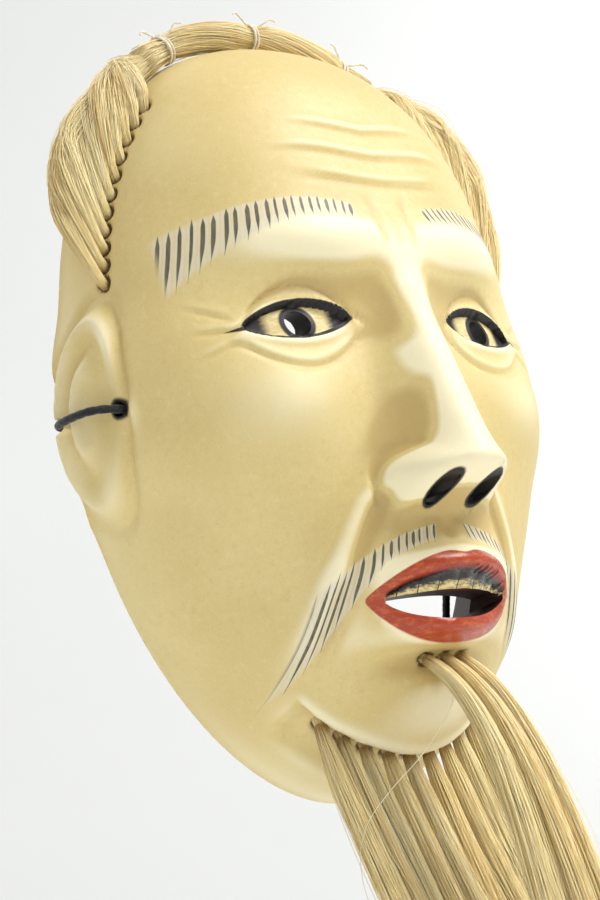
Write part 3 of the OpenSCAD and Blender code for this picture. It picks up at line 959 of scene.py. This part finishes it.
def horsehair():
    f = Finish("horsehair", 0.36)
    tone, along = f.attribute("tone"), f.attribute("along")
    streak = f.noise(500, 3.0, 0.6, (1.0, 1.0, 0.15))
    colour = f.mix(srgb(248, 211, 134), srgb(255, 235, 176), tone.ramp(0.0, 0.5))
    colour = f.over(colour, (255, 247, 210), tone.ramp(0.55, 1.0))
    colour = f.over(colour, (206, 168, 106), along.ramp(0.08, 0.0) * 0.6)
    colour = f.over(colour, (255, 246, 218), along.ramp(0.5, 1.0) * 0.2)
    colour = f.over(colour, (228, 191, 120), streak.ramp(0.55, 0.8) * 0.35)
    f.colour(colour)
    f.rough(0.30 + 0.2 * streak)
    f.set(Specular_IOR_Level=0.6, Subsurface_Weight=0.15,
          Subsurface_Radius=(0.001, 0.0008, 0.0005))
    return f.material


def tie_string():
    return plain("tie_string", 0.8, (900, 4.0), (214, 200, 172), (240, 232, 212), (0.3, 0.7), 0.06,
                 Sheen_Weight=0.2)


def cord_black():
    return plain("braided_cord", 0.82, (1500, 4.0), (16, 16, 19), (44, 44, 50), (0.4, 0.8), 0.08,
                 Sheen_Weight=0.35, Sheen_Roughness=0.4)


# ---- strands and cords --------------------------------------------------

def unit(v):
    v = np.asarray(v, float)
    return v / np.maximum(np.linalg.norm(v, axis=-1, keepdims=True), 1e-9)


def bezier(points, steps):
    s = np.linspace(0, 1, steps)[:, None]
    p = [np.asarray(q, float) for q in points]
    return (p[0] * (1 - s) ** 3 + 3 * p[1] * s * (1 - s) ** 2 + 3 * p[2] * s * s * (1 - s)
            + p[3] * s ** 3)


def evened(points, step):
    """A smooth curve through the points, in equal steps of about this length."""
    p = np.asarray(points, float)
    p = np.concatenate([[2 * p[0] - p[1]], p, [2 * p[-1] - p[-2]]])
    s = np.linspace(0, 1, 16, endpoint=False)[:, None]
    rows = []
    for a, b, c, d in zip(p[:-3], p[1:-2], p[2:-1], p[3:]):
        rows.append(0.5 * (2 * b + (c - a) * s + (2 * a - 5 * b + 4 * c - d) * s ** 2
                           + (3 * b - a - 3 * c + d) * s ** 3))
    rows = np.concatenate(rows + [p[-2:-1]])
    far = np.concatenate([[0], np.cumsum(np.linalg.norm(np.diff(rows, axis=0), axis=1))])
    at = np.linspace(0, far[-1], max(2, round(far[-1] / step) + 1))
    return np.stack([np.interp(at, far, rows[:, k]) for k in range(3)], -1)


def carried_frame(path):
    """The way along a path and two ways across it, which don't turn about it."""
    way = unit(np.gradient(path, axis=0))
    across = [unit(np.cross(way[0], (0.2, 0.9, 0.3)))]
    for w in way[1:]:
        across.append(unit(across[-1] - w * (across[-1] @ w)))
    across = np.array(across)
    return way, across, np.cross(way, across)


def tube_groups(count, steps, sides):
    """Faces of closed tubes whose vertices run by tube, by step and round."""
    index = np.arange(count * steps * sides).reshape(count, steps, sides)
    a, b = index[:, :-1], index[:, 1:]
    quads = np.stack([a, np.roll(a, -1, 2), np.roll(b, -1, 2), b], -1).reshape(-1, 4)
    return [(quads, 0), (np.concatenate([index[:, 0, ::-1], index[:, -1]]), 0)]


def rope(path, radius, sides=10, braid=0.0):
    """Vertices of one tube along a path, with the relief of a braid."""
    _, across, up = carried_frame(path)
    turn = np.radians(np.arange(sides) * 360 / sides)
    far = np.arange(len(path))[:, None] * np.linalg.norm(path[1] - path[0]) * 1.9
    relief_here = np.maximum(np.sin(2 * turn + far), np.sin(-2 * turn + far + 1.6))
    r = radius * (1 - braid + braid * relief_here)
    r[0] *= 0.5
    r[-1] *= 0.5
    return (path[:, None] + (r * np.cos(turn))[..., None] * across[:, None]
            + (r * np.sin(turn))[..., None] * up[:, None])


def rope_object(name, ropes, material):
    """One piece from several tubes' vertices, each steps by sides by 3."""
    groups, start = [], 0
    for verts in ropes:
        for faces, slot in tube_groups(1, *verts.shape[:2]):
            groups.append((faces + start, slot))
        start += verts.shape[0] * verts.shape[1]
    return new_object(name, np.concatenate([v.reshape(-1, 3) for v in ropes]), groups, (material,))


def strands(name, paths, radii, tones, material):
    """Hairs as fine closed tubes. paths is hairs by steps by 3, radii hairs by steps."""
    count, steps = paths.shape[:2]
    way = unit(np.gradient(paths, axis=1))
    side = unit(np.cross(way, (0.93, 0.30, 0.21)))
    other = np.cross(way, side)
    turn = np.radians([90.0, 210.0, 330.0])
    verts = (paths[:, :, None] + radii[:, :, None, None]
             * (np.cos(turn)[:, None] * side[:, :, None]
                + np.sin(turn)[:, None] * other[:, :, None]))
    along = np.broadcast_to(np.linspace(0, 1, steps)[None, :, None], (count, steps, 3))
    tone = np.broadcast_to(tones[:, None, None], (count, steps, 3))
    return new_object(name, verts, tube_groups(count, steps, 3), (material,),
                      (("tone", tone), ("along", along)))


def hair_piece(name, node, hairs, material, mirror=1):
    """A piece of hair that doesn't move. hairs is (points, radii, tones)."""
    points, radii, tones = hairs
    hold(strands(name, points * mirror, radii, tones, material), "horsehair", node)


def swarm(path, width, count, radius, steps, locks=8, gather=0.6, fray=1.0, short=0.2,
          twist=0.0, loose=0.02):
    """Hairs about a path. width is the bundle's half width at even steps of it, in mm."""
    _, across, up = carried_frame(path)
    s = np.linspace(0, 1, steps)
    end = 1 - short * RANDOM.random(count) ** 2
    at = s[None] * end[:, None]

    def sample(rows):
        rows = np.asarray(rows, float)
        known = np.linspace(0, 1, len(rows))
        if rows.ndim == 1:
            return np.interp(at, known, rows)
        return np.stack([np.interp(at, known, rows[:, k]) for k in range(3)], -1)

    angle, far = RANDOM.uniform(0, 2 * np.pi, count), RANDOM.random(count) ** 0.5
    place = np.stack([far * np.cos(angle), far * np.sin(angle)], -1)
    lock = RANDOM.integers(locks, size=count)
    middle = RANDOM.uniform(-0.8, 0.8, (locks, 2))
    share = gather * smooth(at * 1.4)[..., None]
    where = place[:, None] * (1 - 0.75 * share) + middle[lock][:, None] * 0.75 * share
    phase, beat = RANDOM.uniform(0, 6.28, (2, count, 1)), RANDOM.uniform(3, 9, (2, count, 1))
    wave = np.stack([np.sin(beat[k] * at + phase[k]) - np.sin(phase[k]) for k in range(2)], -1)
    wild = np.where(RANDOM.random(count) < loose, RANDOM.uniform(2, 3.5, count), 1.0)
    where = where + (0.11 * fray * wild)[:, None, None] * wave * (0.2 + at[..., None])
    if twist:
        c, d = np.cos(twist * at), np.sin(twist * at)
        where = np.stack([where[..., 0] * c - where[..., 1] * d,
                          where[..., 0] * d + where[..., 1] * c], -1)
    half = sample(width)[..., None]
    points = (sample(path) + half * where[..., :1] * sample(across)
              + half * where[..., 1:] * sample(up))
    taper = 1 - 0.65 * smooth((s - 0.7) / 0.3)
    radii = radius * RANDOM.uniform(0.75, 1.2, (count, 1)) * taper[None]
    tones = np.clip(0.55 * RANDOM.random(locks)[lock] + 0.45 * RANDOM.random(count), 0, 1)
    return points, radii, tones


# ---- ear cords ----------------------------------------------------------

EAR_WAY = [[60.6, -22, -3], [66, -22, -3], [71.5, -22, -3], [75, -21, -3], [77.2, -18, -3],
           [77.8, -13, -3], [77.6, -8, -3], [76.2, -4, -3], [73, -2, -3], [69, -1.8, -3],
           [65, -2.2, -2.8], [61, -5, -1.6], [57, -9, 0.2], [53.4, -12.8, 0.8], [50.8, -15, -0.6]]
TAIL_WAY = [[49.8, -2.6, -36.6], [48.6, -3.2, -42], [47.2, -3.5, -48], [45.8, -3.6, -54],
            [44.6, -3.6, -60]]
HANK_X, HANK_R, HANK_TOP, HANK_LOW, HANK_LAPS = 45.5, 4.4, -7.0, -32.0, 6
HANK_Y, HANK_PITCH, HANK_STEP = -15.9, 2.2, 2.2
TIE_HALF, TIE_FORWARD, TIE_Z, TIE_PITCH = (6.0, 8.25), 6.95, -20.6, 0.686


def hank_way():
    """The cord's folds, from the top of the outer run down and round to its bottom."""
    run = HANK_TOP - HANK_LOW
    bend = math.pi * HANK_R
    lap = 2 * (run + bend)
    points = []
    for k in range(int((HANK_LAPS * lap + run) / HANK_STEP) + 1):
        far = k * HANK_STEP
        s = far % lap
        if s < run:
            x, z = HANK_R, HANK_TOP - s
        elif s < run + bend:
            turn = (s - run) / HANK_R
            x, z = HANK_R * math.cos(turn), HANK_LOW - HANK_R * math.sin(turn)
        elif s < 2 * run + bend:
            x, z = -HANK_R, HANK_LOW + (s - run - bend)
        else:
            turn = (s - 2 * run - bend) / HANK_R
            x, z = -HANK_R * math.cos(turn), HANK_TOP + HANK_R * math.sin(turn)
        points.append([HANK_X + x, HANK_Y + HANK_PITCH * far / lap, z])
    return points


def knot_way(centre, size, tilt):
    t = np.linspace(0, 2 * np.pi, 49)
    p = size * np.stack([0.62 * (np.sin(t) + 2 * np.sin(2 * t)),
                         0.62 * (np.cos(t) - 2 * np.cos(2 * t)), -0.9 * np.sin(3 * t)], -1)
    c, s = math.cos(tilt), math.sin(tilt)
    turned = np.stack([p[:, 0] * c + p[:, 2] * s, p[:, 1], -p[:, 0] * s + p[:, 2] * c], -1)
    return turned + centre


def build_cords(black, string):
    for side, name in ((-1, "right"), (1, "left")):
        mirror = np.array([side, 1, 1])
        path = evened(np.array(EAR_WAY + hank_way() + TAIL_WAY) * mirror, 0.45)
        line = rope_object(name + "_cord", [rope(path, CORD_D / 2, 12, 0.07)], black)
        hold(line, "black_cord", name + "_ear_cord", name + "_cord_hank")
        knots = [rope(knot_way(np.array(EAR_WAY[0]) * mirror - [3.2 * side, 0, 0], 0.95, 0.6), 1.15,
                      10, 0.07),
                 rope(knot_way(path[-1], 0.66, 0.2), 0.95, 10, 0.07)]
        knot = rope_object(name + "_knots", knots, black)
        hold(knot, "black_cord", name + "_cord_knot")
        turn = np.linspace(0, 2 * np.pi * 3, 120)
        boxy = (np.abs(np.cos(turn)) ** 5 + np.abs(np.sin(turn)) ** 5) ** -0.2
        wraps = np.stack([HANK_X + TIE_HALF[0] * boxy * np.cos(turn),
                          HANK_Y + TIE_FORWARD + TIE_HALF[1] * boxy * np.sin(turn),
                          TIE_Z + TIE_PITCH / (2 * np.pi) * turn], -1) * mirror
        ends = [evened([wraps[k], wraps[k] + np.array([0.4, 2.0, 1.0 * k + 0.6]) * mirror,
                        wraps[k] + np.array([-1.6, 2.4, -3.5 - 1.2 * k]) * mirror], 0.4)
                for k in (0, -1)]
        tie = rope_object(name + "_hank_string", [rope(evened(wraps, 0.5), 0.34, 8, 0.06)]
                          + [rope(p, 0.32, 8, 0.06) for p in ends], string)
        hold(tie, "tie_string", name + "_hank_tie")


# ---- hair ---------------------------------------------------------------

def lock_point(a):
    """The sidelocks' and top bundle's centre line, over the head from 0 to 180 degrees."""
    b = np.where(a <= 90, a, 180 - a)
    up = smooth((b - 40) / (BUNDLE_FROM - 40))
    r = plain_outline(b) + LOCK_LOW + (LOCK_HIGH - LOCK_LOW) * up
    return np.stack([np.where(a <= 90, 1, -1) * r * cosd(b), np.full_like(r, LOCK_Y),
                     r * sind(b)], -1)


def fuller(a):
    """How far the left lock, the bushier one, stands further out and forward."""
    share = smooth((a - 26) / 10) * smooth((BUNDLE_FROM - 1 - a) / 12)
    return share[:, None] * np.stack([5.5 * cosd(a), np.full_like(a, -3.0), 5.5 * sind(a)], -1)


def build_sidelocks(hair):
    for side, name in ((-1, "right"), (1, "left")):
        mirror = np.array([side, 1, 1])
        for k in range(SIDELOCK_TUFTS):
            a = lock_angle(k)
            root, out = ROOTS["left"][k]
            join = np.minimum(np.array([a + 13.0, a + 22.0, a + 32.0, a + 43.0]),
                              BUNDLE_FROM + np.array([-5.0, -2.0, 1.0, 4.5]))
            free = smooth((BUNDLE_FROM - join) / 14)
            beyond = RANDOM.uniform(-1.5, 1.5) * free + np.array([3.0, 1.5, 0.0, 0.0]) * smooth(
                (a - 35) / 15)
            goal = lock_point(join) + (beyond - 5.0 * smooth((46 - join) / 14))[:, None] * np.stack(
                [cosd(join), np.zeros(4), sind(join)], -1)
            goal[:, 1] += RANDOM.uniform(-3.5, 0.5) * free
            if side > 0:
                goal += fuller(join)
            radial = np.array([cosd(a), 0.0, sind(a)])
            rise = np.array([-sind(a), 0.6, cosd(a)])
            path = evened([root - 2.5 * out, root + 1.0 * out, root + 4.2 * out + 1.2 * rise,
                           0.55 * (root + 6.0 * out + 4.5 * radial + 4.0 * rise) + 0.45 * goal[0],
                           *goal], 0.8)
            hairs = swarm(
                path, [1.2, 1.5, 2.4, 3.1, 3.3, 3.2, 3.0, 2.6, 2.2, 2.0], 270, HAIR_R, 18, locks=7,
                gather=0.45, fray=1.4, short=0.45, loose=0.06)
            hair_piece(f"{name}_tuft_{k + 1}", f"{name}_sidelock_tuft_{k + 1}", hairs, hair, mirror)
        a = np.linspace(LOCK_FROM + LOCK_LEAD + 8, BUNDLE_FROM + 5.5, 30)
        bushy = fuller(a) if side > 0 else 0.0
        points, radii, tones = swarm(
            bushy + lock_point(a) - (4.5 * smooth((46 - a) / 14))[:, None]
            * np.stack([cosd(a), np.zeros(30), sind(a)], -1),
            [1.2, 2.0, 2.8, 3.4, 4.0, 4.4, 4.6, 4.3, 3.9, 3.7], 1100, HAIR_R, 18,
            locks=22, gather=0.5, fray=0.8, short=0.0, twist=0.5, loose=0.02)
        start = RANDOM.random(len(points)) ** 1.3 * 0.75
        keep = start[:, None] + (1 - start[:, None]) * np.linspace(0, 1, 18)[None]
        known = np.linspace(0, 1, 18)
        points = np.stack([[np.interp(row, known, hairs[:, c]) for c in range(3)]
                           for row, hairs in zip(keep, points)]).transpose(0, 2, 1)
        hair_piece(name + "_lock", name + "_sidelock", (points, radii, tones), hair, mirror)
    a = np.linspace(BUNDLE_FROM, 180 - BUNDLE_FROM, 48)
    pinch = sum(np.exp(-((a - at) / 1.6) ** 2) for at in (BUNDLE_FROM + 5, 90.0, 175 - BUNDLE_FROM))
    points, radii, tones = swarm(lock_point(a), 4.6 - 1.0 * pinch, 1300, 0.09, 26, locks=30,
                                 gather=0.35, fray=0.6, short=0.0, twist=2.2, loose=0.02)
    hair_piece("crown_bundle", "top_bundle", (points, np.full_like(radii, 0.09), tones), hair)


def build_ties(string):
    for name, a in (("right", 175 - BUNDLE_FROM), ("centre", 90.0), ("left", BUNDLE_FROM + 5)):
        middle = lock_point(np.array([a]))[0]
        way = unit(lock_point(np.array([a + 1]))[0] - lock_point(np.array([a - 1]))[0])
        up = unit(np.cross(way, (0.0, 1.0, 0.0)))
        across = np.cross(up, way)
        turn = np.linspace(3.8, 3.8 + 2 * np.pi * 3.1, 110)
        lift = np.linspace(-0.85, 0.85, 110) + 0.35 * np.sin(turn * 0.5 + 1.0)
        wraps = (middle + 4.05 * np.cos(turn)[:, None] * across + 4.05 * np.sin(turn)[:, None] * up
                 + lift[:, None] * way)
        ropes = [rope(evened(wraps[::2], 0.4), 0.33, 8, 0.06)]
        for first, tilt in ((0, -1.0), (-1, 1.0)):
            base = wraps[first]
            outward_way = unit(base - middle)
            ropes.append(rope(evened([base, base + 1.2 * outward_way + 1.2 * tilt * way,
                                      base + 2.2 * outward_way + 3.2 * tilt * way - 0.8 * up,
                                      base + 2.3 * outward_way + 4.9 * tilt * way - 0.6 * across],
                                     0.4), 0.31, 8, 0.06))
        piece = rope_object(name + "_string", ropes, string)
        hold(piece, "tie_string", name + "_bundle_tie")


STRAY = [(-5.6, -50.5, -75.0), (-4.6, -56.0, -80.0), (-8.0, -57.5, -87.0), (-15.0, -53.0, -97.0),
         (-22.5, -47.0, -105.0), (-27.0, -41.0, -113.0), (-28.0, -38.0, -123.0),
         (-25.0, -37.0, -136.0)]


def build_beard(hair):
    kinds = (("lip", np.array([0, -1, -0.6]), LIP_FALL, LIP_SWEEP, 560, 9, 1.3),
             ("chin", np.array([0, -0.3, -1]), CHIN_FALL, CHIN_SWEEP, 360, 7, 1.4))
    for kind, out, fall, sweep, count, locks, fray in kinds:
        out = unit(out)
        for k, (root, _) in enumerate(ROOTS[kind]):
            start = root + 0.3 * out
            goal = root + np.array([0, -sweep, -fall])
            off = (k - (len(ROOTS[kind]) - 1) / 2) / len(ROOTS[kind])
            spread = 7 if kind == "lip" else -2
            goal = goal + np.array([off * spread, RANDOM.uniform(0, 3.5), 1.5])
            path = bezier([start, start + 0.3 * fall * out,
                           goal + np.array([0, 0.12 * fall, 0.4 * fall]), goal], 40)
            widths = ([1.5, 2.1, 2.6, 3.1, 3.6, 4.1, 4.5, 4.8, 5.0, 5.0] if kind == "lip"
                      else [1.6, 2.7, 3.1, 3.3, 3.5, 3.8, 4.1, 4.3, 4.5, 4.5])
            points, radii, tones = swarm(
                path, widths, count, HAIR_R, 24, locks=locks, gather=0.5, fray=fray,
                short=0.4 if kind == "chin" else 0.25, loose=0.05)
            if kind == "lip" and k == 0:
                stray = evened(STRAY, 1.0)
                pick = np.linspace(0, len(stray) - 1, points.shape[1]).astype(int)
                points[0], radii[0], tones[0] = stray[pick], 0.11, 1.0
            name = f"{kind}_tuft_{k + 1}"
            piece = strands(name + "_hair", points, radii, tones, hair)
            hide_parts(name)
            Vector(start * MM)
            Vector((start + 16 * out) * MM)
            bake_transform(piece)
        stubs = []
        for root, _ in ROOTS[kind]:
            path = root + np.array([-3.6, -1.5, 0.6, 1.6])[:, None] * out
            stubs.append(swarm(path, [1.45, 1.45, 1.3, 1.0], 90, 0.12, 4, locks=3, gather=0.0,
                               fray=0.2, short=0.2, loose=0.0))
        hair_piece(kind + "_roots", kind + "_tuft_roots",
                   [np.concatenate(rows) for rows in zip(*stubs)], hair)


# ---- stage --------------------------------------------------------------

def add_light(name, place, aim, size, power):
    data = bpy.data.lights.new(name, "AREA")
    data.shape = "DISK"
    data.size = size
    data.energy = power
    light = placed(name, data)
    light.location = place
    light.rotation_euler = (Vector(aim) - Vector(place)).to_track_quat("-Z", "Y").to_euler()


def pale_paper():
    return plain("pale_paper", 0.9, (3, 3.0), (244, 245, 243), (250, 251, 249))


def build_stage():
    """A pale floor that curves up into a wall behind the mask."""
    floor_z, wall_y, bend = -216.0, 1700.0, 600.0
    profile = [(-1800.0, floor_z)]
    for k in range(17):
        turn = math.pi / 2 * k / 16
        profile.append((wall_y - bend + bend * math.sin(turn),
                        floor_z + bend - bend * math.cos(turn)))
    profile.append((wall_y, 2400.0))
    xs = np.linspace(-2600, 2600, 27)
    verts = np.array([(x, y, z) for x in xs for y, z in profile])
    m = len(profile)
    i, j = np.meshgrid(np.arange(len(xs) - 1), np.arange(m - 1), indexing="ij")
    p = (i * m + j).ravel()
    floor = new_object("studio_floor", verts, [(np.stack([p, p + m, p + m + 1, p + 1], 1), 0)],
                       (pale_paper(),))
    add_light("key", (0.48, -0.66, 0.92), (0, -0.03, 0.02), 0.7, 15.5)
    add_light("fill", (-0.85, -0.6, 0.25), (0, -0.03, -0.02), 0.9, 1.0)
    add_light("wall", (2.6, 0.5, 1.0), (2.2, 1.7, 0.5), 1.2, 15.0)
    add_light("back", (-0.5, 0.55, 0.9), (0, 0, 0.05), 0.6, 3.0)
    world = bpy.data.worlds.new("studio")
    world.use_nodes = True
    background = world.node_tree.nodes["Background"]
    background.inputs["Color"].default_value = (1.0, 1.0, 1.0, 1.0)
    background.inputs["Strength"].default_value = 0.46
    bpy.context.scene.world = world
    bpy.context.scene.view_settings.view_transform = "Standard"


build_cords(cord_black(), tie_string())
build_shell(gofun_paint(), back_lacquer(), mouth_red(), black_paint())
hair_material = horsehair()
build_sidelocks(hair_material)
build_ties(tie_string())
build_beard(hair_material)
build_stage()
